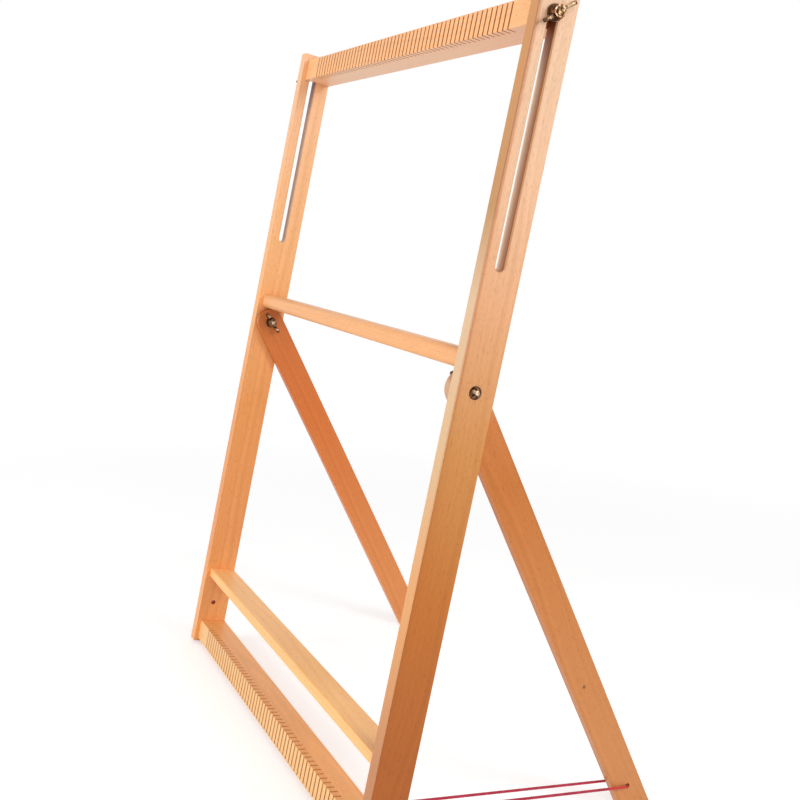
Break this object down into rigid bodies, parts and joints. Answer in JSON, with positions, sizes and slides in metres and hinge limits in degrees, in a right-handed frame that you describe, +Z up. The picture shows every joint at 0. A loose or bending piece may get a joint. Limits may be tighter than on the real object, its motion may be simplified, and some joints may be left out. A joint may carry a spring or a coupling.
{
  "type": "standing frame loom",
  "caption": "Folding table-top weaving frame with slotted side posts, kerfed warp beams, a height-adjustable upper beam, hinged back legs and a stay cord.",
  "frame": {"origin": "on the floor, under the middle of the standing loom's bounding box", "axes": "+X across the loom to the right as the weaver sees it, +Y to the back where the legs stand, +Z up"},
  "size_m": [0.4822, 0.2748, 0.628],
  "materials": {
    "beech_post": "fine-sanded, satin",
    "beech_beam": "fine-sanded, satin",
    "beech_leg": "fine-sanded, satin",
    "beech_dowel": "raw",
    "antique_brass": "antiqued, semi-gloss",
    "crimson_cord": "twisted cotton, matt"
  },
  "bodies": {
    "frame": {"left_post": "beech_post", "right_post": "beech_post", "lower_beam": "beech_beam", "middle_rail": "beech_beam", "lower_rail": "beech_beam", "pivot_bolts": "antique_brass", "pivot_spacers": "antique_brass", "pivot_washers": "antique_brass", "middle_rail_dowels": "beech_dowel", "lower_rail_dowels": "beech_dowel", "lower_beam_dowels": "beech_dowel", "stay_cord": "crimson_cord"},
    "beam_carriage": {"upper_beam": "beech_beam", "clamp_studs": "antique_brass", "clamp_washers": "antique_brass"},
    "left_leg_body": {"left_leg": "beech_leg"},
    "right_leg_body": {"right_leg": "beech_leg"},
    "left_pivot_nut": {"left_pivot_wing_nut": "antique_brass"},
    "right_pivot_nut": {"right_pivot_wing_nut": "antique_brass"},
    "left_clamp_nut": {"left_clamp_wing_nut": "antique_brass"},
    "right_clamp_nut": {"right_clamp_wing_nut": "antique_brass"}
  },
  "joints": [
    {"name": "beam_slide", "type": "slide", "parent": "frame", "child": "beam_carriage", "axis": [0, 0.1392, 0.9903], "range_m": [-0.171, 0]},
    {"name": "left_leg_fold", "type": "hinge", "parent": "frame", "child": "left_leg_body", "pos_m": [-0.214, -0.0744, 0.35179], "axis": [1, 0, 0], "range_deg": [-30.9, 55]},
    {"name": "right_leg_fold", "type": "hinge", "parent": "frame", "child": "right_leg_body", "pos_m": [0.214, -0.0744, 0.35179], "axis": [1, 0, 0], "range_deg": [-30.9, 0], "deforming": ["stay_cord"]},
    {"name": "left_pivot_nut_turn", "type": "hinge", "parent": "frame", "child": "left_pivot_nut", "pos_m": [-0.204, -0.0744, 0.35179], "axis": [1, 0, 0], "continuous": true},
    {"name": "right_pivot_nut_turn", "type": "hinge", "parent": "frame", "child": "right_pivot_nut", "pos_m": [0.204, -0.0744, 0.35179], "axis": [1, 0, 0], "continuous": true},
    {"name": "left_clamp_nut_turn", "type": "hinge", "parent": "beam_carriage", "child": "left_clamp_nut", "pos_m": [-0.238, -0.03987, 0.60828], "axis": [1, 0, 0], "continuous": true},
    {"name": "right_clamp_nut_turn", "type": "hinge", "parent": "beam_carriage", "child": "right_clamp_nut", "pos_m": [0.238, -0.03987, 0.60828], "axis": [1, 0, 0], "continuous": true}
  ]
}
